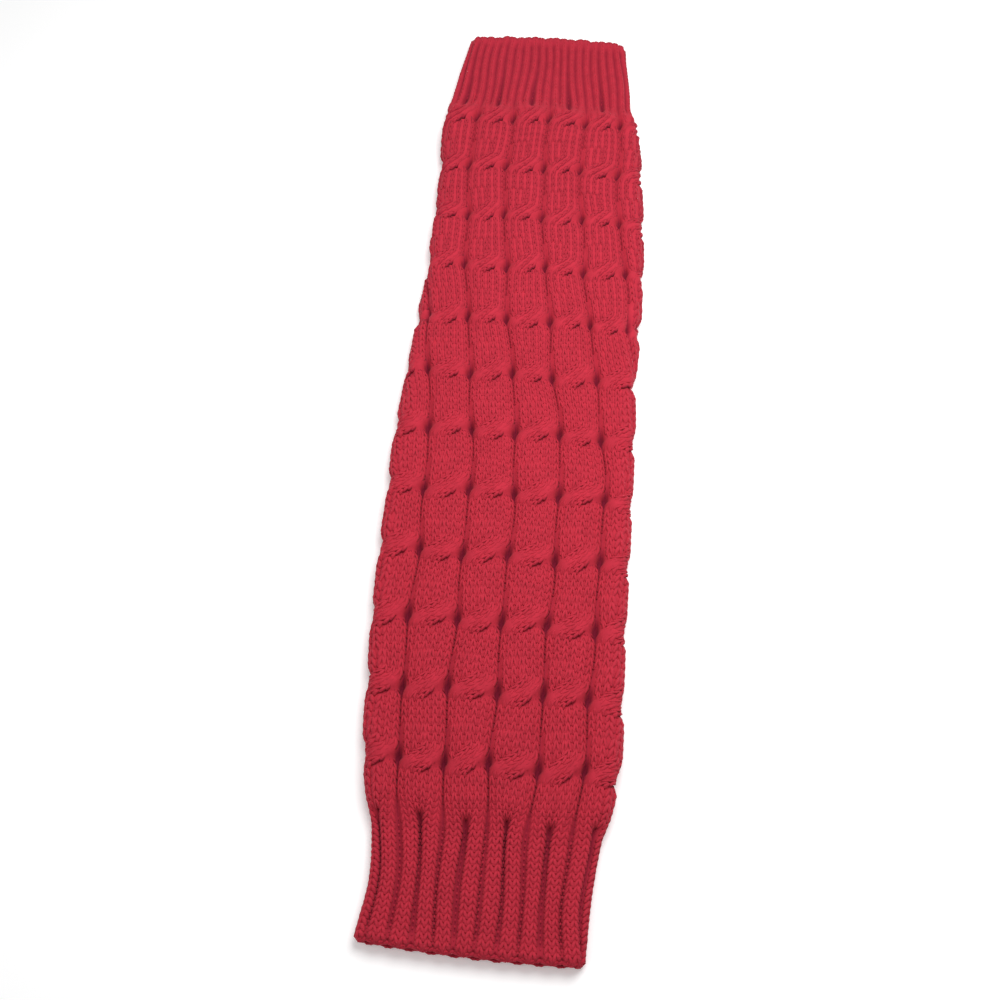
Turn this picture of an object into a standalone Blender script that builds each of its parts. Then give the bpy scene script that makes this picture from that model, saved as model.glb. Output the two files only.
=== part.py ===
"""Cable-knit leg warmer, laid flat: one footless knitted tube with a ribbed cuff at each end.

X runs across the leg, Y along it with the narrow cuff at +Y, and Z is up from the surface
it lies on. The upper and lower layers lie on each other and turn over in a small loop at
each side fold. Eleven cables stand out of the leg, with a thin purl gutter between each two.
"""

import math

import bmesh
import bpy
import numpy as np

# Driving dimensions, in metres
LENGTH = 0.400
CABLES = 11
CROSSINGS = 12
CROSSING_PITCH = 0.0263
LOWEST_CROSSING = -0.139
LEG_WALL = 0.0034
CUFF_WALL = 0.0028
CUFF_BLEND = 0.010
LEG_BELOW = 0.016
LEG_ABOVE = 0.012
CABLE_CROWN = 0.0013
CABLE_LEAN = 0.0005
CABLE_SHOULDER = 1.4
WAIST_SHARE = 0.4
GUTTER_DEPTH = 0.0008
HOLE_DEPTH = 0.0006
RIBS_PER_CABLE = 2
RIB_HEIGHT = 0.0004
UNDERSIDE_FACING = -0.995
UNDERSIDE_BLEND = 0.6

# How finely the solid is divided
STEPS_PER_CABLE = 6
RINGS_PER_CROSSING = 4
INNER_RINGS = 11
CURVE_STEPS = 60
WIDE_CUFF_RINGS = (0.0, 0.006, 0.016, 0.027, 0.038, 0.046, 0.053)
NARROW_CUFF_RINGS = (0.043, 0.038, 0.030, 0.020, 0.008, 0.0)

# Red wool yarn
YARN_RED = (0.47, 0.0245, 0.0455, 1.0)
YARN_ROUGHNESS = 0.85
SHARP_ANGLE = math.radians(50)

TOP_CROSSING = LOWEST_CROSSING + (CROSSINGS - 1) * CROSSING_PITCH
STEPS_AROUND = CABLES * STEPS_PER_CABLE

# Cross-sections: along Y, width, gap between the layers, crown, centre across, cables' drift
SECTIONS = np.array(
    (
        (-0.200, 0.0745, 0.0008, 0.0002, -0.0004, 0.0015),
        (-0.180, 0.0725, 0.0008, 0.0002, 0.0014, 0.0015),
        (-0.160, 0.0765, 0.0009, 0.0004, 0.0019, 0.0015),
        (-0.138, 0.0843, 0.0010, 0.0007, 0.0016, 0.0014),
        (-0.100, 0.0873, 0.0010, 0.0009, 0.0000, 0.0010),
        (-0.010, 0.0892, 0.0010, 0.0009, -0.0006, 0.0000),
        (0.035, 0.0872, 0.0010, 0.0010, 0.0006, -0.0060),
        (0.075, 0.0865, 0.0011, 0.0012, 0.0012, -0.0110),
        (0.125, 0.0835, 0.0014, 0.0015, 0.0004, -0.0145),
        (0.152, 0.0830, 0.0013, 0.0013, -0.0018, -0.0137),
        (0.175, 0.0775, 0.0010, 0.0006, -0.0020, -0.0130),
        (0.200, 0.0705, 0.0008, 0.0002, -0.0014, -0.0125),
    )
)


def section_values(along):
    """Width, gap, crown, centre and drift at a place along the leg, on a smooth curve."""
    places = SECTIONS[:, 0]
    slopes = np.gradient(SECTIONS[:, 1:], places, axis=0)
    low = int(np.clip(np.searchsorted(places, along) - 1, 0, len(places) - 2))
    step = places[low + 1] - places[low]
    t = (along - places[low]) / step
    before, after = SECTIONS[low, 1:], SECTIONS[low + 1, 1:]
    return (
        (2 * t**3 - 3 * t**2 + 1) * before
        + (t**3 - 2 * t**2 + t) * step * slopes[low]
        + (3 * t**2 - 2 * t**3) * after
        + (t**3 - t**2) * step * slopes[low + 1]
    )


def smooth_step(value):
    value = min(max(value, 0.0), 1.0)
    return value * value * (3.0 - 2.0 * value)


def leg_share(along):
    """1 in the cabled leg, 0 in a cuff, with a short blend between them."""
    below = smooth_step((along - LOWEST_CROSSING + LEG_BELOW) / CUFF_BLEND)
    above = smooth_step((TOP_CROSSING - along + LEG_ABOVE) / CUFF_BLEND)
    return below * above


def wall_at(along):
    share = leg_share(along)
    return share * LEG_WALL + (1.0 - share) * CUFF_WALL


def middle_curve(along):
    """Points and outward directions of the wall's middle, round from the top centre."""
    width, gap, crown, centre, _ = section_values(along)
    wall = wall_at(along)
    fold = (wall + gap) / 2
    flat = width / 2 - fold - wall / 2
    low, high = wall / 2, wall / 2 + 2 * fold
    ramp = np.linspace(0.0, 1.0, CURVE_STEPS, endpoint=False)
    turn = math.pi * ramp
    rise = crown * (1 - ramp**2) ** 2
    slope = -4 * crown / flat * ramp * (1 - ramp**2)
    level = np.zeros(CURVE_STEPS)
    stretches = (
        (flat * ramp, high + rise, -slope, level + 1),
        (flat + fold * np.sin(turn), low + fold * (1 + np.cos(turn)), np.sin(turn), np.cos(turn)),
        (flat * (1 - 2 * ramp), level + low, level, level - 1),
        (-flat - fold * np.sin(turn), low + fold * (1 - np.cos(turn)), -np.sin(turn), -np.cos(turn)),
        (-flat * (1 - ramp), high + rise[0] * (1 - (1 - ramp) ** 2) ** 2, level, level + 1),
    )
    x, z, out_x, out_z = (np.concatenate(part) for part in zip(*stretches))
    size = np.hypot(out_x, out_z)
    return np.stack([x + centre, z], 1), np.stack([out_x / size, out_z / size], 1)


def relief(around, along):
    """How far the wall's outer face stands out at a place counted in cables round the leg.

    Each cable swells between its crossings and narrows at them. Just above a crossing the
    strand on top lies to the right, and just below it to the left, so that side stands higher.
    """
    share = leg_share(along)
    side = 2 * (around - math.floor(around)) - 1
    pillow = smooth_step((1 - abs(side)) * CABLE_SHOULDER)
    turn = 2 * math.pi * (along - LOWEST_CROSSING) / CROSSING_PITCH
    waist = 0.5 + 0.5 * math.cos(turn)
    top = CABLE_CROWN * (1 - WAIST_SHARE * waist) + CABLE_LEAN * side * math.sin(turn)
    cable = pillow * top - (1 - pillow) * (GUTTER_DEPTH + HOLE_DEPTH * waist)
    rib = -RIB_HEIGHT * math.cos(2 * math.pi * RIBS_PER_CABLE * around)
    return share * cable + (1 - share) * rib


def wall_points(along, inside):
    """One ring of the wall: its outer face with cables and ribs, or its smooth inner face.

    The relief fades out where the wall faces down, so the underside lies flat.
    """
    middle, outward = middle_curve(along)
    half = wall_at(along) / 2
    _, _, _, centre, drift = section_values(along)
    outer = middle + half * outward
    steps = np.hypot(*(np.roll(outer, -1, 0) - outer).T)
    length = np.concatenate([[0.0], np.cumsum(steps)])
    ring = []
    for step in range(STEPS_AROUND):
        around = step / STEPS_PER_CABLE
        arc = (around / CABLES * length[-1] + drift - centre) % length[-1]
        x, z, out_x, out_z = (
            np.interp(arc, length, np.append(column, column[0]))
            for column in (*middle.T, *outward.T)
        )
        free = smooth_step((out_z - UNDERSIDE_FACING) / UNDERSIDE_BLEND)
        reach = -half if inside else half + free * relief(around, along)
        ring.append((x + reach * out_x, along, max(z + reach * out_z, 0.0)))
    return ring


def ring_places():
    """Where the outer rings stand: closest along the cables, wider apart in the cuffs."""
    leg = np.linspace(LOWEST_CROSSING, TOP_CROSSING, (CROSSINGS - 1) * RINGS_PER_CROSSING + 1)
    lower = np.array(WIDE_CUFF_RINGS) - LENGTH / 2
    upper = LENGTH / 2 - np.array(NARROW_CUFF_RINGS)
    return np.concatenate([lower, leg, upper])


def tube_of(mesh, places, inside):
    """A tube of faces through one ring at each place, and its two open end loops."""
    rings = [[mesh.verts.new(point) for point in wall_points(y, inside)] for y in places]
    for low, high in zip(rings, rings[1:]):
        for step in range(STEPS_AROUND):
            after = (step + 1) % STEPS_AROUND
            corners = (low[step], low[after], high[after], high[step])
            mesh.faces.new(corners[::-1] if inside else corners)
    return rings[0], rings[-1]


def edges_of_loop(loop):
    pairs = zip(loop, loop[1:] + loop[:1])
    return [edge for a, b in pairs for edge in a.link_edges if b in edge.verts]


def yarn_material():
    material = bpy.data.materials.new("red_yarn")
    material.use_nodes = True
    shader = material.node_tree.nodes["Principled BSDF"]
    shader.inputs["Base Color"].default_value = YARN_RED
    shader.inputs["Roughness"].default_value = YARN_ROUGHNESS
    shader.inputs["Metallic"].default_value = 0.0
    material.diffuse_color = YARN_RED
    return material


def knitted_tube():
    """The whole leg warmer: outer face, inner face, and a rim that joins them at each end."""
    mesh = bmesh.new()
    places = ring_places()
    inner_places = np.linspace(places[0], places[-1], INNER_RINGS)
    outer_ends = tube_of(mesh, places, inside=False)
    inner_ends = tube_of(mesh, inner_places, inside=True)
    for outer_loop, inner_loop in zip(outer_ends, inner_ends):
        bmesh.ops.bridge_loops(mesh, edges=edges_of_loop(outer_loop) + edges_of_loop(inner_loop))
    corners = np.array([vertex.co[:] for vertex in mesh.verts])
    low, high = corners.min(0), corners.max(0)
    middle = ((low[0] + high[0]) / 2, (low[1] + high[1]) / 2, low[2])
    bmesh.ops.translate(mesh, verts=mesh.verts, vec=[-value for value in middle])
    bmesh.ops.recalc_face_normals(mesh, faces=mesh.faces)
    data = bpy.data.meshes.new("leg_warmer_tube")
    mesh.to_mesh(data)
    mesh.free()
    data.shade_smooth()
    data.set_sharp_from_angle(angle=SHARP_ANGLE)
    data.materials.append(yarn_material())
    return bpy.data.objects.new("leg_warmer_tube", data)


def main():
    for leftover in list(bpy.data.objects):
        bpy.data.objects.remove(leftover, do_unlink=True)
    collection = bpy.data.collections.new("cable_knit_leg_warmer")
    bpy.context.scene.collection.children.link(collection)
    collection.objects.link(knitted_tube())


main()
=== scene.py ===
# %% [markdown]
# # A cable-knit leg warmer
# A leg warmer is a knitted tube with no foot. It is knitted in one piece: a wide ribbed cuff, a
# leg of eleven cables, and a narrow ribbed cuff. Here it lies flat, so its two layers lie on
# each other and turn over at a fold on each side.
#
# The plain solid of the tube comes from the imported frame. This file works the knitting over it,
# stitch by stitch, and gives it its yarn.

import math

import bmesh
import bpy
import numpy as np
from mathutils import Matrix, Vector


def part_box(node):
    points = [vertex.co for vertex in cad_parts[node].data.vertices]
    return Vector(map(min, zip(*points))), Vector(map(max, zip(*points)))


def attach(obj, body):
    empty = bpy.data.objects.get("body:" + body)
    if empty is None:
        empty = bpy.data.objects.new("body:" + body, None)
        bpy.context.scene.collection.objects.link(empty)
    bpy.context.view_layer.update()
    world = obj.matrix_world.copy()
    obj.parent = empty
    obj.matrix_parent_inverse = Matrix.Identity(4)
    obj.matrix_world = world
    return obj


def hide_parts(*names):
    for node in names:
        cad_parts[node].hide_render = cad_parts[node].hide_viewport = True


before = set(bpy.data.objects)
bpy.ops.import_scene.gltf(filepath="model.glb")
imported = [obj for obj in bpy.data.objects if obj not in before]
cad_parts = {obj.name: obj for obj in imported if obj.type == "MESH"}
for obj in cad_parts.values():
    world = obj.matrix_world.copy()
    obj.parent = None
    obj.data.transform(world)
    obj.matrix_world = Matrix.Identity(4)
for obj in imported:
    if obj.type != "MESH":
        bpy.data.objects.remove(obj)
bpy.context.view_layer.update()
TUBE = "leg_warmer_tube"
tube_low, tube_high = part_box(TUBE)
LENGTH = tube_high.y - tube_low.y
MM = 0.001
print("tube", [round(side / MM, 1) for side in tube_high - tube_low], "mm")

# %% [markdown]
# ## The knitting chart
# A knitter works from a chart: columns of stitches across, rows of stitches along. Each cable
# takes six knit columns, and two purl columns make the gutter beside it. Every ten rows the
# cable's left three columns cross over its right three. In the cuffs the same columns go on as
# a rib of two knit and two purl, so each cable runs into two ribs.

# %% Columns and rows
CABLES = 11
COLUMNS_PER_CABLE = 8
KNIT_COLUMNS = 6
COLUMNS = CABLES * COLUMNS_PER_CABLE
CROSSINGS = 12
ROWS_PER_CROSSING = 10
FIRST_CROSSING = 27
LAST_CROSSING = FIRST_CROSSING + ROWS_PER_CROSSING * (CROSSINGS - 1)
HALF_CELL = ROWS_PER_CROSSING // 2
LEG_START = FIRST_CROSSING - 7
LEG_END = LAST_CROSSING + HALF_CELL
ROWS = LEG_END + 18
STITCH_WIDTH = 2.8 * MM
STITCH_LENGTH = 2.7 * MM
print(COLUMNS, "columns,", ROWS, "rows, crossings at rows", FIRST_CROSSING, "to", LAST_CROSSING)

# %% [markdown]
# ## Where each row lies
# The crossings are evenly spaced along the leg. The rib rows of the cuffs are shorter, because
# a rib pulls itself together. Toward the narrow cuff the leg is pulled more open. A size that
# changes with that is given as a pair: its value at the wide cuff and at the narrow one.

# %% Rows to places along the leg
CROSSING_PITCH = 26.3 * MM
LOWEST_CROSSING = -139.0 * MM
ROW_PITCH = CROSSING_PITCH / ROWS_PER_CROSSING
CABLE_START = LOWEST_CROSSING - HALF_CELL * ROW_PITCH
CABLE_END = CABLE_START + CROSSINGS * CROSSING_PITCH
BLEND_BELOW, BLEND_ABOVE = 6, 4
FAR_SPAN = 0.8 * LENGTH
ROW_KNOTS = (0, FIRST_CROSSING - HALF_CELL, LEG_END, ROWS)
PLACE_KNOTS = (-LENGTH / 2, CABLE_START, CABLE_END, LENGTH / 2)


def row_place(row):
    """Distance along the leg, from its middle, of a place in the chart counted in rows."""
    inside = np.interp(row, ROW_KNOTS, PLACE_KNOTS)
    past = np.minimum(row, 0) + np.maximum(row - ROWS, 0)
    return inside + past * ROW_PITCH


def smooth_step(value):
    value = np.clip(value, 0.0, 1.0)
    return value * value * (3 - 2 * value)


def far_share(along):
    """0 at the wide cuff and 1 at the narrow one, where the knitting is pulled more open."""
    return smooth_step(0.5 + along / FAR_SPAN)


def graded(pair, far):
    """A size that changes from the first of a pair at the wide cuff to the second."""
    first, second = pair
    return first + (second - first) * far


def leg_share(row):
    """1 where the cables run, 0 in the cuffs, with a short blend between them."""
    below = smooth_step((row - LEG_START) / BLEND_BELOW + 0.5)
    return below * smooth_step((LEG_END - row) / BLEND_ABOVE)


print("rib rows", round((PLACE_KNOTS[1] - PLACE_KNOTS[0]) / ROW_KNOTS[1] / MM, 2), "mm long")

# %% [markdown]
# ## The tube's cross-sections
# The tube lies flat, so each cross-section is a long loop: level below, slightly crowned above,
# with a round fold at each side. A few sections along the leg give its width, the gap between
# the layers, the crown, how far it lies off centre, and how far the cables have drifted round.
# A smooth curve through them gives every section between.

# %% Sections along the leg
SECTIONS = np.array(
    (
        (-0.200, 0.0745, 0.0008, 0.0002, -0.0004, 0.0015),
        (-0.180, 0.0725, 0.0008, 0.0002, 0.0014, 0.0015),
        (-0.160, 0.0765, 0.0009, 0.0004, 0.0019, 0.0015),
        (-0.138, 0.0843, 0.0010, 0.0007, 0.0016, 0.0014),
        (-0.100, 0.0873, 0.0010, 0.0009, 0.0000, 0.0010),
        (-0.010, 0.0892, 0.0010, 0.0009, -0.0006, 0.0000),
        (0.035, 0.0872, 0.0010, 0.0010, 0.0006, -0.0060),
        (0.075, 0.0865, 0.0011, 0.0012, 0.0012, -0.0110),
        (0.125, 0.0835, 0.0014, 0.0015, 0.0004, -0.0145),
        (0.152, 0.0830, 0.0013, 0.0013, -0.0018, -0.0137),
        (0.175, 0.0775, 0.0010, 0.0006, -0.0020, -0.0130),
        (0.200, 0.0705, 0.0008, 0.0002, -0.0014, -0.0125),
    )
)
LEG_WALL = 3.4 * MM
CUFF_WALL = 2.8 * MM


def section_values(along):
    """Width, gap, crown, centre and drift at places along the leg, on a smooth curve."""
    places = SECTIONS[:, 0]
    slopes = np.gradient(SECTIONS[:, 1:], places, axis=0)
    low = np.clip(np.searchsorted(places, along) - 1, 0, len(places) - 2)
    step = (places[low + 1] - places[low])[:, None]
    t = (along - places[low])[:, None] / step
    return (
        (2 * t**3 - 3 * t**2 + 1) * SECTIONS[low, 1:]
        + (t**3 - 2 * t**2 + t) * step * slopes[low]
        + (3 * t**2 - 2 * t**3) * SECTIONS[low + 1, 1:]
        + (t**3 - t**2) * step * slopes[low + 1]
    ).T


def half_wall(along):
    """Half of the cloth's thickness, which is less in the cuffs."""
    rows = np.interp(along, PLACE_KNOTS, ROW_KNOTS)
    share = leg_share(rows)
    return (share * LEG_WALL + (1 - share) * CUFF_WALL) / 2


# %% One section as a closed loop
def section_loop(width, gap, crown, centre, half, steps=80):
    """Points and outward directions round the middle of the cloth, from the top centre."""
    fold = half + gap / 2
    flat = width / 2 - fold - half
    low, high = half, half + 2 * fold
    ramp = np.linspace(0, 1, steps, endpoint=False)
    turn = math.pi * ramp
    back = 1 - ramp
    level = np.zeros(steps)
    stretches = (
        (flat * ramp, high + crown * (1 - ramp**2) ** 2, level, level + 1),
        (flat + fold * np.sin(turn), low + fold * (1 + np.cos(turn)), np.sin(turn), np.cos(turn)),
        (flat * (1 - 2 * ramp), level + low, level, level - 1),
        (-flat - fold * np.sin(turn), low + fold * (1 - np.cos(turn)), -np.sin(turn), -np.cos(turn)),
        (-flat * back, high + crown * (1 - back**2) ** 2, level, level + 1),
    )
    x, z, out_x, out_z = (np.concatenate(part) for part in zip(*stretches))
    return x + centre, z, out_x, out_z


# %% [markdown]
# ## A map of the whole cloth
# The stitches are worked on a flat chart and then wrapped on the tube. This map holds, for every
# place round the tube (counted in cables) and along it, a point in the middle of the cloth and
# the direction that faces out. Reading between its entries is quick for a million points.
# Points past a rim turn over it in a small half circle, as the cloth's edge does.

# %% Build the map
MAP_ROUND = CABLES * 24
MAP_ALONG = 401
RIM_TURN = 1.4 * MM
RIM = LENGTH / 2 - RIM_TURN


def build_map():
    along = np.linspace(-RIM, RIM, MAP_ALONG)
    width, gap, crown, centre, drift = section_values(along)
    halves = half_wall(along)
    entries = np.zeros((MAP_ALONG, MAP_ROUND + 1, 4))
    for index in range(MAP_ALONG):
        loop = section_loop(width[index], gap[index], crown[index], centre[index], halves[index])
        x, z, out_x, out_z = loop
        outer_x, outer_z = x + halves[index] * out_x, z + halves[index] * out_z
        steps = np.hypot(np.roll(outer_x, -1) - outer_x, np.roll(outer_z, -1) - outer_z)
        arcs = np.concatenate([[0], np.cumsum(steps)])
        start = drift[index] - centre[index]
        wanted = (np.linspace(0, arcs[-1], MAP_ROUND + 1) + start) % arcs[-1]
        for part, values in enumerate(loop):
            entries[index, :, part] = np.interp(wanted, arcs, np.append(values, values[0]))
    return entries


cloth_map = build_map()
print("map of", cloth_map.shape[0], "by", cloth_map.shape[1], "places")

# %% [markdown]
# ## The cloth lies a little unevenly
# Nothing knitted lies quite straight. Slow waves push the cables a little aside and the rows a
# little along, and the ends are bowed. Every wave fits a whole number of times round the tube, so
# it closes without a step. Right at the rims each rib or wale also ends in a small bump.

# %% Uneven lie
SIDE_WAVES = ((0.026, 61 * MM, 4, 0.0), (0.020, 37 * MM, -3, 2.5))
PUSH_WAVE = (0.7 * MM, 83 * MM, 5, 0.0)
RIM_BUMP = 0.35 * MM
WIDE_CUFF_RIBS, NARROW_CUFF_RIBS = 2, 4
HALF_WIDTH = 38 * MM
FAR_BOW = (-1.8 * MM, 0.6 * MM, 4.4 * MM)
NEAR_BOW = (1.1 * MM, -1.1 * MM, 0.0)
FAR_BUMPS = 0.35 * MM
BOW_START, BOW_BLEND = 0.3, 0.2


def wave(size, length, times_round, phase, along, angle):
    return size * np.sin(2 * math.pi * along / length + times_round * angle + phase)


def ribs_per_cable(along):
    return np.where(along > 0, NARROW_CUFF_RIBS, WIDE_CUFF_RIBS)


def bow(x, along):
    """How far the cloth is pushed along near its ends, which didn't come to lie quite straight."""
    end = smooth_step((np.abs(along) / LENGTH - BOW_START) / BOW_BLEND)
    side = x / HALF_WIDTH
    bumps = np.sin(side * 21) + 0.7 * np.sin(side * 34 + 1)
    far = np.polyval(FAR_BOW, side) + FAR_BUMPS * bumps
    return end * np.where(along > 0, far, np.polyval(NEAR_BOW, side))


def on_cloth(around, along, height):
    """Points at a height above the middle of the cloth. Past the rim they turn over its edge."""
    straight = np.clip(along, -RIM, RIM)
    angle = 2 * math.pi * around / CABLES
    push = (1 - (straight / RIM) ** 8) * wave(*PUSH_WAVE, along, angle)
    ribs = np.cos(2 * math.pi * around * ribs_per_cable(along))
    push = push - RIM_BUMP * np.sign(along) * (straight / RIM) ** 60 * ribs
    around = around + sum(wave(*side_wave, along, angle) for side_wave in SIDE_WAVES)
    turn = np.clip(np.abs(along - straight) / RIM_TURN, 0, math.pi)
    u = (around % CABLES) / CABLES * MAP_ROUND
    v = (straight / RIM + 1) / 2 * (MAP_ALONG - 1)
    u0 = np.minimum(u.astype(int), MAP_ROUND - 1)
    v0 = np.minimum(v.astype(int), MAP_ALONG - 2)
    fu, fv = (u - u0)[:, None], (v - v0)[:, None]
    low = cloth_map[v0, u0] * (1 - fu) + cloth_map[v0, u0 + 1] * fu
    high = cloth_map[v0 + 1, u0] * (1 - fu) + cloth_map[v0 + 1, u0 + 1] * fu
    x, z, out_x, out_z = (low * (1 - fv) + high * fv).T
    rise = height(out_z)
    out = rise * np.cos(turn)
    past = np.sign(along) * rise * np.sin(turn) + bow(x, along) + push
    return np.stack([x + out * out_x, straight + past, np.maximum(z + out * out_z, 0)], 1)


middle_top = on_cloth(np.zeros(1), np.zeros(1), lambda out_z: half_wall(np.zeros(1)))[0]
print("top of the cloth in the middle", round(middle_top[2] / MM, 1), "mm up")

# %% [markdown]
# ## How a strand runs through a crossing
# Between crossings a cable's two strands, three columns each, run straight. At a crossing each
# swings to the other's place. A strand keeps its width while it swings, as a ribbon does, so
# its path is worked out first, from its slope, adding up small steps. The strand on top swings
# gently in full view. The one below turns sharply where it is hidden, so its visible shoulders
# stay full. That swing is too short to reach the other's place, so its three columns step aside
# by half a stitch halfway to the next crossing.

# %% The strands' paths
CABLE_PITCH = 17.3 * MM
STRAND_OFFSET = 1.5 * STITCH_WIDTH
PATH_REACH = 20 * MM


def path_at(steepest, below, above):
    """Distance run, sideways place, forward place and slope of a strand that swings right."""
    run = np.linspace(-PATH_REACH, PATH_REACH, 4001)
    slope = steepest * (1 - np.clip(np.abs(run) / np.where(run < 0, below, above), 0, 1) ** 2)
    step = run[1] - run[0]
    aside = np.concatenate([[0], np.cumsum(np.sin(slope[:-1]) * step)]) - STRAND_OFFSET
    ahead = np.concatenate([[0], np.cumsum(np.cos(slope[:-1]) * step)])
    return run, aside, ahead - np.interp(0, run, ahead), slope


def strand_path(below, above):
    """The path whose slope takes it to the other strand's place, found by halving a range.

    It swings from a distance below the crossing to a distance above it. Where even a slope of
    89 degrees is too little, it stops short of that place.
    """
    low, high = math.radians(20), math.radians(89)
    for _ in range(40):
        middle = (low + high) / 2
        if path_at(middle, below, above)[1][-1] < STRAND_OFFSET:
            low = middle
        else:
            high = middle
    return path_at(low, below, above)


def follow(path, near):
    """Sideways place, forward place and slope for a place counted in rows from the crossing."""
    run, aside, ahead, slope = path
    ends = np.interp((-CROSSING_PITCH / 2, 0, CROSSING_PITCH / 2), ahead, run)
    at = np.interp(near, (-HALF_CELL, 0, HALF_CELL), ends)
    return [np.interp(at, run, values) for values in (aside, ahead, slope)]


OVER_SWING = (6.0 * MM, 9.0 * MM)
UNDER_SWING = (3.6 * MM, 5.4 * MM)
OVER_PATH = strand_path(*OVER_SWING)
UNDER_PATH = strand_path(*UNDER_SWING)
STEEPEST = OVER_PATH[3].max()
for place, path in (("on top", OVER_PATH), ("below", UNDER_PATH)):
    short = (STRAND_OFFSET - path[1][-1]) / MM
    print("strand", place, round(math.degrees(path[3].max())), "degrees,", round(short, 1), "mm short")

# %% [markdown]
# ## Heights over the cloth
# A cable is a rounded ridge: high along its middle and low beside the gutter. It swells between
# its crossings, most at a fold, and has a waist at each. The strand on top of a crossing is
# lifted, and the one below is pulled down. Where the cloth is pressed on the floor nothing
# stands out, so heights above the flat are taken away there. The rounded sections are powers of
# the distance from the middle: a high power is flat on top and falls steeply at its edge.

# %% Height of the knitting
CABLE_CROWN = 1.9 * MM
CABLE_EDGE = (1.2 * MM, 0.48 * MM)
CABLE_SHOULDER = 4.5
BLOCK_SWELL = 0.9 * MM
FOLD_SWELL = 2.2 * MM
FOLD_BALANCE = 0.1
LIFT = 1.2 * MM
STRAND_ROUND = 0.6 * MM
STRAND_FALL = 1.3
YARN_HALF = 0.6 * MM
UNDERSIDE_FACING = -0.995
UNDERSIDE_BLEND = 0.6
RIB_CROWNS = (1.2 * MM, 1.0 * MM)
RIB_VALLEYS = (0.8 * MM, 0.6 * MM)
RIB_SHOULDER = 2.5
RIM_FADE = 5 * MM
RIM_FILL = 1.2 * MM


def relief_at(top, close, share, out_z):
    """Height left where the cloth is pressed on the floor, and its swelling and waists at a fold."""
    free = smooth_step((out_z - UNDERSIDE_FACING) / UNDERSIDE_BLEND)
    folded = FOLD_SWELL * (FOLD_BALANCE - close) * (1 - np.abs(out_z)) * share
    return np.where(top > 0, top * free, top) + folded


def cable_height(across, far):
    """Ridge of a cable, by distance from its middle in half pitches."""
    reach = np.clip(np.abs(across), 0, 1.05) ** CABLE_SHOULDER
    return CABLE_CROWN * (1 - reach) - graded(CABLE_EDGE, far) * reach


def strand_height(from_over, close):
    """Extra height of the strand on top of a crossing, by distance from its middle line."""
    return (LIFT + STRAND_ROUND * (1 - STRAND_FALL * (from_over / STRAND_OFFSET) ** 2)) * close


def near_rim(along):
    """0 along the cuff, rising to 1 at its rim."""
    return smooth_step((np.abs(along) - RIM) / RIM_FADE + 1)


def rib_height(around, along):
    """Ridges of the cuffs: two ribs to a cable in the wide one, four wales in the narrow one."""
    ribs = ribs_per_cable(along) * around
    across = 2 * np.abs(ribs - np.floor(ribs) - 0.5)
    crown = np.where(along < 0, *RIB_CROWNS)
    valley = np.where(along < 0, *RIB_VALLEYS) - RIM_FILL * near_rim(along)
    return crown - (crown + valley) * across**RIB_SHOULDER


# %% [markdown]
# ## One stitch
# A knit stitch shows as two legs that lean together. Each leg is a short stretch of yarn, thick
# in the middle, whose ends dip under its neighbours. Ten thousand stitches use it, so it has as
# few faces as still look round: five sides and three rings, closed to a point at both ends.

# %% Make a leg of yarn
LEG_SIDES = 5


def yarn_leg(mesh, points, radii, uv):
    """A closed leaf of yarn through points; its first and last points are the tips."""
    points = [Vector(point) * MM for point in points]
    rings = []
    for index in range(1, len(points) - 1):
        ahead = (points[index + 1] - points[index - 1]).normalized()
        side = ahead.cross(Vector((0, 0, 1))).normalized()
        up = side.cross(ahead)
        turns = [2 * math.pi * (step + 0.5) / LEG_SIDES for step in range(LEG_SIDES)]
        radius = radii[index - 1] * MM
        rings.append([
            mesh.verts.new(points[index] + radius * (math.sin(t) * side + math.cos(t) * up))
            for t in turns
        ])
    first, last = mesh.verts.new(points[0]), mesh.verts.new(points[-1])
    count = len(rings)
    for step in range(LEG_SIDES):
        after = (step + 1) % LEG_SIDES
        cells = [((first, 0), (rings[0][after], 1), (rings[0][step], 1))]
        for low in range(count - 1):
            cells.append((
                (rings[low][step], low + 1), (rings[low][after], low + 1),
                (rings[low + 1][after], low + 2), (rings[low + 1][step], low + 2),
            ))
        cells.append(((last, count + 1), (rings[-1][step], count), (rings[-1][after], count)))
        for cell in cells:
            face = mesh.faces.new([vertex for vertex, _ in cell])
            face.smooth = True
            for loop, (vertex, level) in zip(face.loops, cell):
                turn = after if vertex in [ring[after] for ring in rings] else step
                loop[uv].uv = (turn / LEG_SIDES + (step == LEG_SIDES - 1 and turn == 0), level / 2)


def template(name, legs):
    """A hidden mesh of one stitch, to be repeated by Geometry Nodes."""
    mesh = bmesh.new()
    uv = mesh.loops.layers.uv.new("UVMap")
    for points, radii in legs:
        yarn_leg(mesh, points, radii, uv)
    bmesh.ops.recalc_face_normals(mesh, faces=mesh.faces)
    data = bpy.data.meshes.new(name)
    mesh.to_mesh(data)
    mesh.free()
    return bpy.data.objects.new(name, data)


# %% The knit stitch, the purl bump and the edge loop
def mirrored(legs):
    return legs + [([(-x, y, z) for x, y, z in points], radii) for points, radii in legs]


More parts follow.
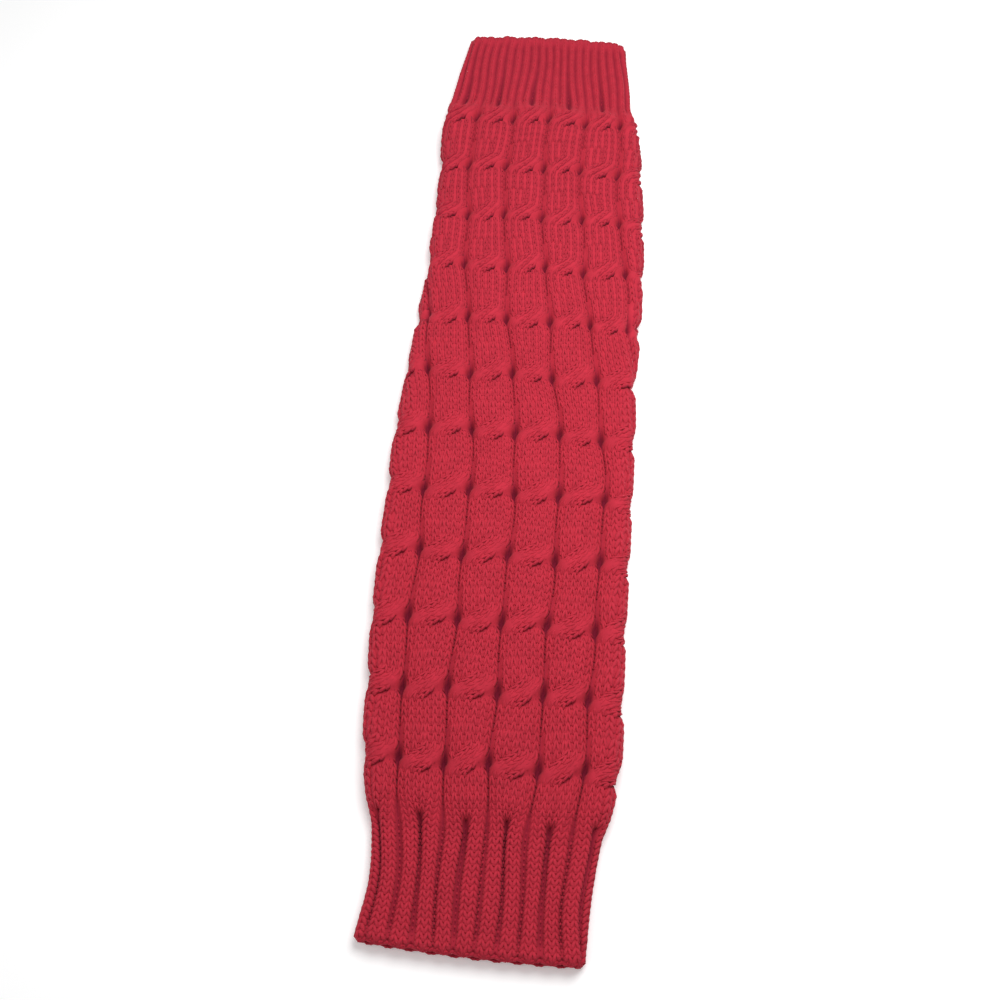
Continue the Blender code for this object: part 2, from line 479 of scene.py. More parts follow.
KNIT_LEG = (
    [(1.12, -2.25, -0.20), (1.00, -1.50, -0.03), (0.60, 0.0, 0.06), (0.25, 1.50, -0.02),
     (0.16, 2.15, -0.20)],
    (0.47, 0.62, 0.47),
)
PURL_BAR = (
    [(-1.5, -0.35, -0.6), (-0.8, 0.0, 0.0), (0.0, 0.15, 0.15), (0.8, 0.0, 0.0), (1.5, -0.35, -0.6)],
    (0.70, 0.90, 0.70),
)
EDGE_LOOP = (
    [(-1.7, -0.4, -0.5), (-0.9, -0.15, 0.0), (0.0, 0.1, 0.1), (0.9, 0.35, 0.0), (1.7, 0.5, -0.5)],
    (0.75, 0.95, 0.75),
)
knit_template = template("knit_template", mirrored([KNIT_LEG]))
purl_template = template("purl_template", [PURL_BAR])
edge_template = template("edge_template", [EDGE_LOOP])
print("a stitch has", sum(len(p.vertices) - 2 for p in knit_template.data.polygons), "triangles")

# %% [markdown]
# ## Repeating the stitch over the chart
# A Geometry Nodes tree fills a patch of the chart: a line of points, one for each stitch, is
# folded into columns and rows, the columns that aren't wanted are dropped, and a copy of the
# template is put on each point with a little unevenness. It also notes each stitch's column and
# row, which the wrapping step needs.

# %% The stitch field tree
def stitch_field_tree():
    tree = bpy.data.node_groups.new("stitch_field", "GeometryNodeTree")
    sockets = {}
    tree.interface.new_socket("Geometry", in_out="OUTPUT", socket_type="NodeSocketGeometry")
    for name, kind, value in (
        ("Stitch", "NodeSocketObject", None),
        ("Yarn", "NodeSocketMaterial", None),
        ("Columns", "NodeSocketInt", COLUMNS),
        ("Rows", "NodeSocketInt", 10),
        ("First Row", "NodeSocketInt", 0),
        ("Repeat", "NodeSocketInt", COLUMNS_PER_CABLE),
        ("Keep From", "NodeSocketInt", 0),
        ("Keep Count", "NodeSocketInt", KNIT_COLUMNS),
        ("Unevenness", "NodeSocketFloat", 0.06 * MM),
        ("Seed", "NodeSocketInt", 4),
    ):
        socket = tree.interface.new_socket(name, in_out="INPUT", socket_type=kind)
        if value is not None:
            socket.default_value = value
        sockets[name] = socket.identifier
    nodes, links = tree.nodes, tree.links
    given = nodes.new("NodeGroupInput")

    def math_node(operation, first, second):
        node = nodes.new("ShaderNodeMath")
        node.operation = operation
        for slot, value in enumerate((first, second)):
            if isinstance(value, (int, float)):
                node.inputs[slot].default_value = value
            else:
                links.new(value, node.inputs[slot])
        return node.outputs[0]

    line = nodes.new("GeometryNodeMeshLine")
    links.new(math_node("MULTIPLY", given.outputs["Columns"], given.outputs["Rows"]),
              line.inputs["Count"])
    index = nodes.new("GeometryNodeInputIndex").outputs[0]
    column = math_node("FLOOR", math_node("DIVIDE", index, given.outputs["Rows"]), 0)
    row_in_patch = math_node("SUBTRACT", index, math_node("MULTIPLY", column, given.outputs["Rows"]))
    row = math_node("ADD", row_in_patch, given.outputs["First Row"])

    spot = nodes.new("ShaderNodeCombineXYZ")
    links.new(math_node("MULTIPLY", column, STITCH_WIDTH), spot.inputs["X"])
    links.new(math_node("MULTIPLY", row, STITCH_LENGTH), spot.inputs["Y"])
    place = nodes.new("GeometryNodeSetPosition")
    links.new(line.outputs[0], place.inputs["Geometry"])
    links.new(spot.outputs[0], place.inputs["Position"])

    shape = place.outputs[0]
    for name, value in (("column", column), ("row", row)):
        note = nodes.new("GeometryNodeStoreNamedAttribute")
        note.data_type = "FLOAT"
        note.domain = "POINT"
        note.inputs["Name"].default_value = name
        links.new(shape, note.inputs["Geometry"])
        links.new(value, note.inputs["Value"])
        shape = note.outputs[0]

    named = nodes.new("GeometryNodeInputNamedAttribute")
    named.data_type = "FLOAT"
    named.inputs["Name"].default_value = "column"
    in_repeat = math_node("MODULO", named.outputs["Attribute"], given.outputs["Repeat"])
    ahead = math_node("SUBTRACT", in_repeat, given.outputs["Keep From"])
    too_low = math_node("LESS_THAN", ahead, -0.5)
    last = math_node("SUBTRACT", given.outputs["Keep Count"], 0.5)
    too_high = math_node("GREATER_THAN", ahead, last)
    drop = nodes.new("GeometryNodeDeleteGeometry")
    drop.domain = "POINT"
    links.new(shape, drop.inputs["Geometry"])
    links.new(math_node("MAXIMUM", too_low, too_high), drop.inputs["Selection"])

    wobble = nodes.new("FunctionNodeRandomValue")
    wobble.data_type = "FLOAT_VECTOR"
    below = math_node("MULTIPLY", given.outputs["Unevenness"], -1.0)
    links.new(below, wobble.inputs["Min"])
    links.new(given.outputs["Unevenness"], wobble.inputs["Max"])
    links.new(given.outputs["Seed"], wobble.inputs["Seed"])
    shake = nodes.new("GeometryNodeSetPosition")
    links.new(drop.outputs[0], shake.inputs["Geometry"])
    links.new(wobble.outputs["Value"], shake.inputs["Offset"])

    stitch = nodes.new("GeometryNodeObjectInfo")
    links.new(given.outputs["Stitch"], stitch.inputs["Object"])
    copies = nodes.new("GeometryNodeInstanceOnPoints")
    links.new(shake.outputs[0], copies.inputs["Points"])
    links.new(stitch.outputs["Geometry"], copies.inputs["Instance"])
    real = nodes.new("GeometryNodeRealizeInstances")
    links.new(copies.outputs[0], real.inputs[0])
    finish = nodes.new("GeometryNodeSetMaterial")
    links.new(real.outputs[0], finish.inputs["Geometry"])
    links.new(given.outputs["Yarn"], finish.inputs["Material"])
    links.new(finish.outputs[0], nodes.new("NodeGroupOutput").inputs[0])
    return tree, sockets


field_tree, field_sockets = stitch_field_tree()
print("stitch field has", len(field_tree.nodes), "nodes")

# %% [markdown]
# ## The yarn
# The yarn is a soft matt red, spun of a few plies. Fine fibres stand off it and catch the light,
# which is what sheen in the shader gives. The plies twist round each leg of a stitch, along the
# leg's own UV map. Yarn that lies deep between the stitches is in shade, darker and redder because
# light that reaches it has already met red yarn. That shade is painted into the colour: each piece
# carries a painted shade attribute, from 0 in the light to 1 in full shade.

# %% Shared yarn effects
YARN_RED = (0.47, 0.0245, 0.0455, 1.0)
# Painted shade colour: the red that yarn lying in shade is mixed toward.
PAINTED_SHADE_RED = (0.16, 0.006, 0.022, 1.0)
TWISTS = 1.5
PLY_HEIGHT = 0.35
FIBRE_SCALE = 2600.0
PATCH_SCALE = 320.0


def yarn_group():
    """Node group: colour of the yarn, mixed toward painted shade, and height of its plies and fibres.
    """
    group = bpy.data.node_groups.new("spun_yarn", "ShaderNodeTree")
    for name, kind, value in (
        ("Colour", "NodeSocketColor", YARN_RED),
        ("Shaded Colour", "NodeSocketColor", PAINTED_SHADE_RED),
        ("Depth", "NodeSocketFloat", 0.0),
        ("Plies", "NodeSocketFloat", 2.0),
        ("Unevenness", "NodeSocketFloat", 0.14),
    ):
        group.interface.new_socket(name, in_out="INPUT", socket_type=kind).default_value = value
    group.interface.new_socket("Colour", in_out="OUTPUT", socket_type="NodeSocketColor")
    group.interface.new_socket("Height", in_out="OUTPUT", socket_type="NodeSocketFloat")
    nodes, links = group.nodes, group.links
    given, result = nodes.new("NodeGroupInput"), nodes.new("NodeGroupOutput")

    where = nodes.new("ShaderNodeTexCoord")
    split = nodes.new("ShaderNodeSeparateXYZ")
    links.new(where.outputs["UV"], split.inputs[0])
    twist = nodes.new("ShaderNodeMath")
    twist.operation = "MULTIPLY_ADD"
    links.new(split.outputs["Y"], twist.inputs[0])
    twist.inputs[1].default_value = TWISTS
    links.new(split.outputs["X"], twist.inputs[2])
    phase = nodes.new("ShaderNodeMath")
    phase.operation = "MULTIPLY"
    links.new(twist.outputs[0], phase.inputs[0])
    links.new(given.outputs["Plies"], phase.inputs[1])
    turn = nodes.new("ShaderNodeMath")
    turn.operation = "MULTIPLY"
    links.new(phase.outputs[0], turn.inputs[0])
    turn.inputs[1].default_value = 2 * math.pi
    ply = nodes.new("ShaderNodeMath")
    ply.operation = "SINE"
    links.new(turn.outputs[0], ply.inputs[0])

    fibres = nodes.new("ShaderNodeTexNoise")
    links.new(where.outputs["Object"], fibres.inputs["Vector"])
    fibres.inputs["Scale"].default_value = FIBRE_SCALE
    fibres.inputs["Detail"].default_value = 3.0
    patches = nodes.new("ShaderNodeTexNoise")
    links.new(where.outputs["Object"], patches.inputs["Vector"])
    patches.inputs["Scale"].default_value = PATCH_SCALE
    patches.inputs["Detail"].default_value = 2.0

    height = nodes.new("ShaderNodeMath")
    height.operation = "MULTIPLY_ADD"
    links.new(ply.outputs[0], height.inputs[0])
    height.inputs[1].default_value = PLY_HEIGHT
    links.new(fibres.outputs["Fac"], height.inputs[2])
    links.new(height.outputs[0], result.inputs["Height"])

    # Painted shade: the colour is mixed toward the shaded red as far as the painted shade input says.
    shade_mix = nodes.new("ShaderNodeMix")
    shade_mix.data_type = "RGBA"
    links.new(given.outputs["Depth"], shade_mix.inputs["Factor"])
    links.new(given.outputs["Colour"], shade_mix.inputs[6])
    links.new(given.outputs["Shaded Colour"], shade_mix.inputs[7])
    shade = nodes.new("ShaderNodeMapRange")
    links.new(patches.outputs["Fac"], shade.inputs["Value"])
    shade.inputs["From Min"].default_value = 0.3
    shade.inputs["From Max"].default_value = 0.7
    lower = nodes.new("ShaderNodeMath")
    lower.operation = "SUBTRACT"
    lower.inputs[0].default_value = 1.0
    links.new(given.outputs["Unevenness"], lower.inputs[1])
    links.new(lower.outputs[0], shade.inputs["To Min"])
    shade.inputs["To Max"].default_value = 1.0
    mixed = nodes.new("ShaderNodeMix")
    mixed.data_type = "RGBA"
    mixed.blend_type = "MULTIPLY"
    mixed.inputs["Factor"].default_value = 1.0
    links.new(shade_mix.outputs[2], mixed.inputs[6])
    grey = nodes.new("ShaderNodeCombineColor")
    for slot in range(3):
        links.new(shade.outputs[0], grey.inputs[slot])
    links.new(grey.outputs[0], mixed.inputs[7])
    links.new(mixed.outputs[2], result.inputs["Colour"])
    return group


spun_yarn = yarn_group()


# %% The yarn material
def yarn_material(name, plies, bump):
    material = bpy.data.materials.new(name)
    material.use_nodes = True
    nodes, links = material.node_tree.nodes, material.node_tree.links
    shader = nodes["Principled BSDF"]
    yarn = nodes.new("ShaderNodeGroup")
    yarn.node_tree = spun_yarn
    yarn.inputs["Plies"].default_value = plies
    # Painted shade: how far in shade each bit of yarn lies, painted into its colour.
    painted_shade = nodes.new("ShaderNodeAttribute")
    painted_shade.attribute_name = "painted_shade"
    links.new(painted_shade.outputs["Fac"], yarn.inputs["Depth"])
    links.new(yarn.outputs["Colour"], shader.inputs["Base Color"])
    relief = nodes.new("ShaderNodeBump")
    relief.inputs["Strength"].default_value = bump
    relief.inputs["Distance"].default_value = 0.12 * MM
    links.new(yarn.outputs["Height"], relief.inputs["Height"])
    links.new(relief.outputs[0], shader.inputs["Normal"])
    shader.inputs["Roughness"].default_value = 0.85
    shader.inputs["Specular IOR Level"].default_value = 0.12
    shader.inputs["Sheen Weight"].default_value = 0.10
    shader.inputs["Sheen Roughness"].default_value = 0.45
    shader.inputs["Sheen Tint"].default_value = (1.0, 0.45, 0.50, 1.0)
    return material


stitch_yarn = yarn_material("red_stitch_yarn", plies=2.0, bump=0.5)
backing_yarn = yarn_material("red_backing_yarn", plies=0.0, bump=0.35)
print("materials", stitch_yarn.name, backing_yarn.name)

# %% [markdown]
# ## From chart to cloth
# Each patch of stitches is made flat by the tree, turned into a plain mesh, and wrapped. The
# helper keeps each point's column, row and its small offset inside the stitch.

# %% Make a patch on the chart
def chart_patch(name, stitch, **given):
    """A flat patch of stitches as a plain mesh, with column, row and offsets for each point."""
    holder = bpy.data.objects.new(name, bpy.data.meshes.new(name + "_holder"))
    bpy.context.scene.collection.objects.link(holder)
    field = holder.modifiers.new("stitch_field", "NODES")
    field.node_group = field_tree
    field[field_sockets["Stitch"]] = stitch
    field[field_sockets["Yarn"]] = stitch_yarn
    for key, value in given.items():
        field[field_sockets[key.replace("_", " ")]] = value
    bpy.context.view_layer.update()
    graph = bpy.context.evaluated_depsgraph_get()
    mesh = bpy.data.meshes.new_from_object(
        holder.evaluated_get(graph), preserve_all_data_layers=True, depsgraph=graph)
    holder.modifiers.remove(field)
    holder.data = mesh
    mesh.name = name
    count = len(mesh.vertices)
    points = np.zeros(count * 3, np.float32)
    mesh.vertices.foreach_get("co", points)
    points = points.reshape(-1, 3).astype(float)
    notes = {}
    for key in ("column", "row"):
        values = np.zeros(count, np.float32)
        mesh.attributes[key].data.foreach_get("value", values)
        notes[key] = np.round(values.astype(float))
        mesh.attributes.remove(mesh.attributes[key])
    offset = points - np.stack(
        [notes["column"] * STITCH_WIDTH, notes["row"] * STITCH_LENGTH, np.zeros(count)], 1)
    return holder, notes["column"], notes["row"], offset


def finish_patch(piece, points, painted_shade):
    """Writes the wrapped points and the painted shade attribute into the piece."""
    mesh = piece.data
    mesh.vertices.foreach_set("co", points.astype(np.float32).ravel())
    note = mesh.attributes.new("painted_shade", "FLOAT", "POINT")
    note.data.foreach_set("value", np.clip(painted_shade, 0, 1).astype(np.float32))
    mesh.update()
    triangles = sum(len(face.vertices) - 2 for face in mesh.polygons)
    print(piece.name, triangles, "triangles")
    return piece


# %% [markdown]
# ## Wrapping the ribs of the cuffs
# Each cable runs into two ribs. Its two inner columns sink away, and the outer ones close up in
# pairs, which leaves a small slit where two ribs part. In the narrow cuff the four outer columns
# stand evenly apart as single wales. None of them runs quite straight.

# %% Places in the ribs
WIDE_CUFF_PLACES = np.array((0.154, 0.346, 0.47, 0.53, 0.654, 0.846))
NARROW_CUFF_PLACES = np.array((0.125, 0.375, 0.49, 0.51, 0.625, 0.875))
INNER_WALES = (2, 3)
RIB_FULLNESS = (1.55, 1.50)
INNER_FULLNESS = 0.6
RIB_SWAY = (0.028, 0.0126)
SLIT_OPENING = 0.05
SLIT_SIDES = np.array((0, -1, 0, 0, 1, 0))
SLIT_ROWS = 4


def rib_place_of(cable, wale, row, inside):
    """Place of a point in a rib, in cables from its own cable's left edge."""
    wide = row < ROWS / 2
    rib = 2 * cable + (wale > 2)
    sway = np.where(wide, *RIB_SWAY) * np.sin(2.4 * rib + row / 8)
    slit = SLIT_OPENING * np.exp(-np.maximum(row - LEG_END, 0) / SLIT_ROWS) * SLIT_SIDES[wale]
    places = np.where(wide, WIDE_CUFF_PLACES[wale], NARROW_CUFF_PLACES[wale] + slit)
    fullness = np.where(np.isin(wale, INNER_WALES), INNER_FULLNESS, np.where(wide, *RIB_FULLNESS))
    return places + sway + inside * fullness / CABLE_PITCH


# %% [markdown]
# ## Wrapping the cabled leg
# A stitch belongs to one of its cable's two strands. Near a crossing its strand's path says how
# far it swings aside, and the slope turns it. The cable spreads a little between its crossings
# and draws in at each, which leaves the dark holes beside them. Where the knitting is pulled
# open, the two legs of a stitch close up, so each column stands out as a ridge of its own.

# %% Places in the cables
BLOCK_SPREAD = (0.05, 0.08)
WAIST = 0.09
STRAND_SPREAD = 0.12
STRAND_TURN = 0.5
CLOSED_WIDTH = 0.90
CLOSED_SHAPE = 1.8


def over_strand_at(x, ahead):
    """Distance from the middle line of the strand on top, and how much it is swinging there."""
    slope = np.interp(ahead, OVER_PATH[2], OVER_PATH[3])
    return (x - np.interp(ahead, OVER_PATH[2], OVER_PATH[1])) * np.cos(slope), slope / STEEPEST


def closed_up(offset, far):
    """Sideways place inside a stitch, and how deep in the groove beside its column it lies."""
    reach = np.abs(offset[:, 0]) / (STITCH_WIDTH / 2)
    narrow = CLOSED_WIDTH * np.minimum(reach, 1) ** CLOSED_SHAPE
    inside = np.sign(offset[:, 0]) * STITCH_WIDTH / 2 * (reach + (narrow - reach) * far**2)
    return inside, far**2 * np.minimum(reach, 1.1) ** 2


def nearest_crossing(row):
    """Row, and place along the leg, of the crossing nearest to a stitch."""
    count = np.clip(np.round((row + 0.5 - FIRST_CROSSING) / ROWS_PER_CROSSING), 0, CROSSINGS - 1)
    return FIRST_CROSSING + ROWS_PER_CROSSING * count, LOWEST_CROSSING + count * CROSSING_PITCH


def swing(wale, near, over, inside, far):
    """Place across the cable, ahead of the crossing and in the strand, and the strand's lean."""
    way = np.where(over, 1.0, -1.0)
    aside, ahead, slope = (
        np.where(over, first, second)
        for first, second in zip(follow(OVER_PATH, near), follow(UNDER_PATH, near))
    )
    lean = slope / STEEPEST
    in_strand = (wale - np.where(wale < 3, 1, 4)) * STITCH_WIDTH + inside
    spread = in_strand * (1 + np.where(over, STRAND_SPREAD, 0) * lean)
    x = way * aside + spread * np.cos(STRAND_TURN * slope)
    ahead = ahead - way * spread * np.sin(STRAND_TURN * slope)
    pinch = (np.interp(ahead, OVER_PATH[2], OVER_PATH[3]) / STEEPEST) ** 3
    x = x * (1 + graded(BLOCK_SPREAD, far) * (1 - pinch) - WAIST * pinch)
    return x, ahead, in_strand, lean


# %% [markdown]
# Heights and painted shades go with the places. The strand below drops where the one on top hides
# it and is painted darker, and a soft painted crease shade follows the edge where it comes out again.

# %% Wrap knit stitches
DROP = (2.4 * MM, 1.68 * MM)
DROP_START = 1.8
HIDDEN_RIGHT = (1.0 * MM, 0.1 * MM)
HIDDEN_LEFT = -0.2 * MM
HIDDEN_BLEND = 1.5 * MM
HIDDEN_SHADE = (0.8, 0.4)
CREASE_SHADE = (0.75, 0.45)
CREASE_SHADE_PLACE = (1.2, 1.12)
CREASE_SHADE_WIDTH = 0.9 * MM
CREASE_SHADE_RISE = 4 * MM
WALE_GROOVE = 0.95 * MM
WALE_SHADE = 1.0
SINK = 2.2 * MM
NARROW_RIB_RELIEF = 0.6
SHADE_BELOW = 0.7 * MM
SHADE_RANGE = 3.4 * MM
STITCH_SHADE_RANGE = 8.0 * MM


def wrap_knit(column, row, offset):
    cable = np.floor(column / COLUMNS_PER_CABLE)
    wale = (column - cable * COLUMNS_PER_CABLE).astype(int)
    place_in_rows = row + 0.5 + offset[:, 1] / STITCH_LENGTH
    share = leg_share(place_in_rows)
    far = far_share(row_place(row))
    inside, groove = closed_up(offset, far)

    crossing_row, crossing_place = nearest_crossing(row)
    near = np.clip(place_in_rows - crossing_row, -HALF_CELL, HALF_CELL)
    over = (wale < 3) == (row + 0.5 < crossing_row)
    x, ahead, in_strand, lean = swing(wale, near, over, inside, far)
    beyond = row_place(place_in_rows) - row_place(crossing_row + near)
    along = share * (crossing_place + ahead + beyond) + (1 - share) * row_place(place_in_rows)
    rib_place = rib_place_of(cable, wale, row, inside)
    around = cable + share * (0.5 + x / CABLE_PITCH) + (1 - share) * rib_place

    from_over, close = over_strand_at(x, ahead)
    edge = STRAND_OFFSET + np.where(from_over > 0, graded(HIDDEN_RIGHT, far), HIDDEN_LEFT)
    hidden = smooth_step((edge - np.abs(from_over)) / HIDDEN_BLEND)
    drop = graded(DROP, far) * hidden * np.minimum(1, DROP_START * close)
    strand = np.where(over, strand_height(in_strand, lean), -drop)
    swell = BLOCK_SWELL * (1 - close)
    sunk = np.where(np.isin(wale, INNER_WALES), SINK, 0) * smooth_step((0.6 - share) / 0.4)
    top = share * (cable_height(x / CABLE_PITCH * 2, far) + strand + swell)
    top = top + (1 - share) * rib_height(around, along) - sunk
    half = half_wall(along)
    flatter = np.where(along > 0, NARROW_RIB_RELIEF + (1 - NARROW_RIB_RELIEF) * share, 1)
    relief = offset[:, 2] * flatter - WALE_GROOVE * groove

    def height(out_z):
        return half - YARN_HALF + relief_at(top, close, share, out_z) + relief

    # Painted shade: yarn lying low, in the grooves between columns, on the hidden strand and along the
    # crease is darkened in its colour.
    painted_shade = np.maximum((SHADE_BELOW - top) / SHADE_RANGE, 0) - offset[:, 2] / STITCH_SHADE_RANGE
    painted_shade = painted_shade + WALE_SHADE * groove * share
    painted_shade = painted_shade + np.where(over, 0, graded(HIDDEN_SHADE, far) * share * hidden * close)
    from_crease = from_over - graded(CREASE_SHADE_PLACE, far) * STRAND_OFFSET
    crease_shade_mask = np.exp(-((from_crease / CREASE_SHADE_WIDTH) ** 2)) * close
    painted_shade = painted_shade + graded(CREASE_SHADE, far) * share * crease_shade_mask * smooth_step(x / CREASE_SHADE_RISE + 0.5)
    return on_cloth(around, along, height), painted_shade


# %% Knit the leg in three lengths
leg_rows = LEG_END - LEG_START
cuts = [LEG_START + round(leg_rows * part / 3) for part in range(4)]
stitch_pieces = []
for part, (start, stop) in enumerate(zip(cuts, cuts[1:])):
    patch = chart_patch(f"leg_stitches_{part + 1}", knit_template, Rows=stop - start, First_Row=start)
    stitch_pieces.append(finish_patch(patch[0], *wrap_knit(*patch[1:])))

# %% Knit the two cuffs
for name, start, stop in (
    ("wide_cuff_stitches", -1, LEG_START),
    ("narrow_cuff_stitches", LEG_END, ROWS + 1),
):
    patch = chart_patch(name, knit_template, Rows=stop - start, First_Row=start, Repeat=4,
                        Keep_Count=2)
    stitch_pieces.append(finish_patch(patch[0], *wrap_knit(*patch[1:])))

# %% [markdown]
# ## Purl bumps
# Between the ribs, and down the gutters between the cables, the cloth shows its purl side: a
# small bar of yarn lies across each stitch. These sit low, so they mostly show in the cuffs.
# Down in the gutters they are squeezed small and only show in the holes beside the crossings.

# %% Wrap purl bars
PURL_DEPTHS = (1.0 * MM, 2.0 * MM)
PURL_RISE = 0.8
GUTTER_DEPTH = 2.4 * MM
PURL_SQUEEZE = 0.72
GUTTER_SQUEEZE = 0.25
GUTTER_FLATTENING = 0.7
WIDE_SLIT_DEPTH = 1.0 * MM
WIDE_SLIT_ROWS = 8
PURL_SHADES = (0.6, 0.75)
GUTTER_SHADE = 0.8
SLIT_SHADE = 0.4
PURL_SHADE_RANGE = 2.0 * MM


def wrap_purl(column, row, offset):
    cable = np.floor(column / COLUMNS_PER_CABLE)
    place_in_rows = row + 0.5 + offset[:, 1] / STITCH_LENGTH
    share = leg_share(place_in_rows)
    gutter = column - cable * COLUMNS_PER_CABLE >= KNIT_COLUMNS
    middle = np.where(gutter, 1.0, 0.5)
    squeeze = PURL_SQUEEZE - GUTTER_SQUEEZE * share
    around = cable + middle + offset[:, 0] * squeeze / CABLE_PITCH
    along = row_place(place_in_rows)
    cuff = np.where(along < 0, *PURL_DEPTHS) * (1 - PURL_RISE * near_rim(along))
    past = np.maximum(LEG_START - place_in_rows, 0)
    slit = np.where(gutter | (along > 0), 0, np.exp(-past / WIDE_SLIT_ROWS))
    top = -(1 - share) * (cuff + slit * WIDE_SLIT_DEPTH) - share * GUTTER_DEPTH
    half = half_wall(along)

    def height(out_z):
        return half - YARN_HALF + top + offset[:, 2] * (1 - GUTTER_FLATTENING * share)

    # Painted shade: the low purl bars are darkened, more down the gutters and in the slits, and where
    # a bar dips.
    painted_shade = np.where(along < 0, *PURL_SHADES) + GUTTER_SHADE * share + SLIT_SHADE * slit
    return on_cloth(around, along, height), painted_shade - offset[:, 2] / PURL_SHADE_RANGE


for name, start, stop, repeat in (
    ("wide_cuff_purls", 0, LEG_START, 4),
    ("gutter_purls", LEG_START, LEG_END, 8),
    ("narrow_cuff_purls", LEG_END, ROWS, 4),
):
    patch = chart_patch(name, purl_template, Rows=stop - start, First_Row=start, Repeat=repeat,
                        Keep_From=repeat - 2, Keep_Count=1)
    stitch_pieces.append(finish_patch(patch[0], *wrap_purl(*patch[1:])))

# %% [markdown]
# ## The cloth under the stitches
# Behind the stitches lies the cloth itself: a thin shell all round the tube, open at both ends.
# Its outer face follows the cables and ribs a little way below the yarn, with a shelf under each
# strand on top and a pit for each hole and slit. Its inner face is smooth.

# %% Height of the backing
HOLE_DEPTH = 2.4 * MM
HOLE_START, HOLE_BLEND = 0.78, 0.18
STRAND_FILL = 0.25 * MM
SHELF_WIDTH = (1.04, 1.16)
SHELF_BLEND = 0.8 * MM
SLIT_WIDTHS = (0.16, 0.12)
SLIT_FADE_ROWS = 5
SLIT_DEPTH = 1.6 * MM
DEEPEST = 2.1 * MM


def backing_height(around, along):
    """How far the backing's outer face stands from the outside of the cloth."""
    rows = np.interp(along, PLACE_KNOTS, ROW_KNOTS)
    share = leg_share(rows)
    across = 2 * (around - np.floor(around)) - 1
    crossing = np.clip(np.round((along - LOWEST_CROSSING) / CROSSING_PITCH), 0, CROSSINGS - 1)
    ahead = along - LOWEST_CROSSING - crossing * CROSSING_PITCH
    from_over, close = over_strand_at(across * CABLE_PITCH / 2, ahead)
    far = far_share(along)
    shelf = STRAND_OFFSET * graded(SHELF_WIDTH, far)
    on_top = smooth_step((shelf - np.abs(from_over)) / SHELF_BLEND)
    side = smooth_step((np.abs(across) - HOLE_START) / HOLE_BLEND)
    fill = STRAND_FILL * (1 - far**2)
    ridge = cable_height(across, far) + on_top * (strand_height(from_over, close) + fill * close)
    ridge = ridge + BLOCK_SWELL * (1 - close) - HOLE_DEPTH * side * close**3 * (1 - on_top)
    rib = rib_height(around, along)
    slit = across / np.where(along < 0, *SLIT_WIDTHS)
    past = np.maximum(np.maximum(LEG_START - rows, rows - LEG_END), 0)
    middle = np.exp(-(slit**2) - past / SLIT_FADE_ROWS) * smooth_step((0.6 - share) / 0.3)
    top = share * np.maximum(ridge, -DEEPEST) + (1 - share) * rib
    return np.minimum(top, top * (1 - middle) - SLIT_DEPTH * middle), close, share


# %% Build the backing tube
BACKING_ROUND = CABLES * 20
BACKING_ALONG = 320
BACKING_INNER_ALONG = 40
BACKING_DEPTH = 0.62 * MM
FAR_LOWER = 0.2 * MM
BACKING_SHADE = 0.4
BACKING_SHADE_RANGE = 2.8 * MM


def backing_tube():
    mesh = bmesh.new()
    ends = []
    painted_shades = []
    for steps_along, reach, inside in (
        (BACKING_ALONG, RIM + math.pi * RIM_TURN, False),
        (BACKING_INNER_ALONG, RIM, True),
    ):
        along = np.linspace(-reach, reach, steps_along + 1)
        around = np.linspace(0, CABLES, BACKING_ROUND, endpoint=False)
        rounds, alongs = (grid.ravel() for grid in np.meshgrid(around, along))
        half = half_wall(alongs)
        top, close, share = backing_height(rounds, alongs)
        lower = FAR_LOWER * share * far_share(alongs) ** 2

        def height(out_z):
            if inside:
                return -half
            return half - BACKING_DEPTH - lower + relief_at(top, close, share, out_z)

        points = on_cloth(rounds, alongs, height)
        # Painted shade: the inner face is fully shaded, the outer face darker the lower it lies.
        painted_shades.append(top * 0 + 1 if inside else BACKING_SHADE - top / BACKING_SHADE_RANGE)
        verts = [mesh.verts.new(point) for point in points]
        for ring in range(steps_along):
            for step in range(BACKING_ROUND):
                after = (step + 1) % BACKING_ROUND
                low, high = ring * BACKING_ROUND, (ring + 1) * BACKING_ROUND
                places = (low + step, low + after, high + after, high + step)
                corners = [verts[place] for place in places]
                mesh.faces.new(corners[::-1] if inside else corners).smooth = True
        ends.append((verts[:BACKING_ROUND], verts[-BACKING_ROUND:]))
    for side in range(2):
        outer, inner = ends[0][side], ends[1][side]
        for step in range(BACKING_ROUND):
            after = (step + 1) % BACKING_ROUND
            corners = [outer[step], outer[after], inner[after], inner[step]]
            mesh.faces.new(corners[::-1] if side == 0 else corners)
    bmesh.ops.recalc_face_normals(mesh, faces=mesh.faces)
    data = bpy.data.meshes.new("backing_cloth")
    mesh.to_mesh(data)
    mesh.free()
    note = data.attributes.new("painted_shade", "FLOAT", "POINT")
    note.data.foreach_set("value", np.clip(np.concatenate(painted_shades), 0, 1).astype(np.float32))
    data.materials.append(backing_yarn)
    return bpy.data.objects.new("backing_cloth", data)


backing = backing_tube()
bpy.context.scene.collection.objects.link(backing)
print("backing", sum(len(face.vertices) - 2 for face in backing.data.polygons), "triangles")

# %% [markdown]
# ## The finished edges
# A knitter starts with a cast-on edge and ends with a bind-off edge, so both rims of the tube
# are a chain of slanting loops. One row of them lies round each rim, where the cloth turns over,
# a little proud of it.

# %% Wrap the edge loops
EDGE_TURN = math.radians(95)
EDGE_STRETCH = 1.3
EDGE_PROUD = 0.3 * MM
EDGE_SHADE = 0.3
EDGE_SHADE_RANGE = 3.0 * MM


